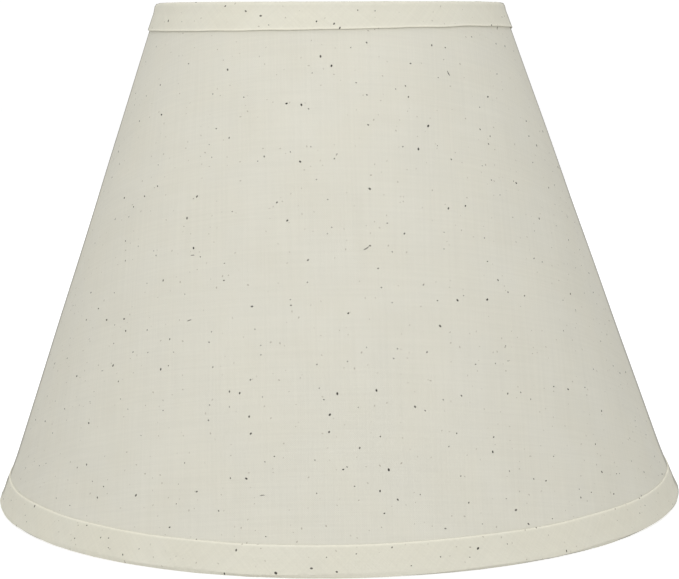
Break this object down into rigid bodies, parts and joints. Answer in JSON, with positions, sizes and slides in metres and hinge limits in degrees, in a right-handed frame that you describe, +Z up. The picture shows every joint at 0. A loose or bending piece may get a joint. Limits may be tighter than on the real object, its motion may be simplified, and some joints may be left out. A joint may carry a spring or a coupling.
{
  "type": "lamp shade",
  "caption": "Hardback empire lamp shade: a cloth-covered cone with taped edges, wire rings and a dropped washer spider.",
  "frame": {"origin": "middle of the bottom rim, on the surface that the shade stands on", "axes": "+Z up along the cone's axis, from the wide rim to the narrow one; -Y is the front and +Y the lapped seam; +X is to the right seen from the front"},
  "size_m": [0.3064, 0.3078, 0.2195],
  "materials": {
    "flecked_cloth": "plain weave with dark flecks, laminated",
    "edging_cloth": "folded tape of the same cloth",
    "white_styrene": "satin sheet",
    "zinc_plated_wire": "zinc plated",
    "brass_plate": "brass plated, polished"
  },
  "bodies": {
    "root": {"fabric_cover": "flecked_cloth", "styrene_liner": "white_styrene", "top_edging_tape": "edging_cloth", "bottom_edging_tape": "edging_cloth", "top_ring": "brass_plate", "bottom_ring": "zinc_plated_wire", "spider_arm_1": "brass_plate", "spider_arm_2": "brass_plate", "spider_arm_3": "brass_plate", "spider_washer": "brass_plate"}
  },
  "joints": []
}
